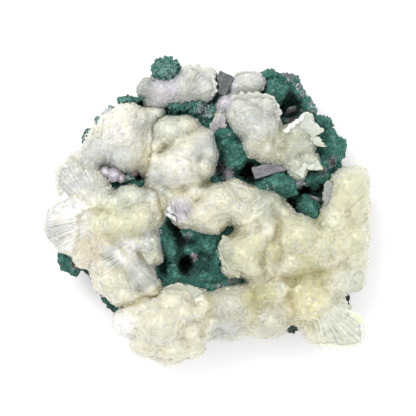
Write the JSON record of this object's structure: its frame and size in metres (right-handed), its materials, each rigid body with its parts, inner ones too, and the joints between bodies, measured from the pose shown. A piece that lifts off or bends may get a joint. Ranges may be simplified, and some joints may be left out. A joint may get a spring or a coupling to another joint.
{
  "type": "stilbite specimen",
  "caption": "Cabinet mineral specimen: domed sheaves of cream stilbite on green celadonite crust over dark basalt, lying on its flat back.",
  "frame": {"origin": "under the middle of the specimen's box, on the surface that it lies on", "axes": "+Z out of the crystal side, +X along the longest width, +Y towards the green knob at the top of the picture"},
  "size_m": [0.165, 0.154, 0.0649],
  "materials": {
    "basalt": "dark fine-grained rock, matt",
    "celadonite": "velvety blue-green crust, matt",
    "stilbite": "cream pearly crystal, translucent",
    "pale_stilbite": "greyish white pearly crystal",
    "quartz": "translucent lilac-grey crystal"
  },
  "bodies": {
    "root": {"basalt_matrix": "basalt", "celadonite_crust": "celadonite", "celadonite_knob": "celadonite", "celadonite_ridge": "celadonite", "quartz_upper_centre": "quartz", "quartz_left_pocket": "quartz", "stilbite_mass": "stilbite", "stilbite_upper_right": "stilbite", "stilbite_top": "pale_stilbite", "quartz_grey_plate": "quartz", "quartz_top_plate": "quartz", "cavity_blade": "quartz", "right_hollow_blades": "quartz"}
  },
  "joints": []
}
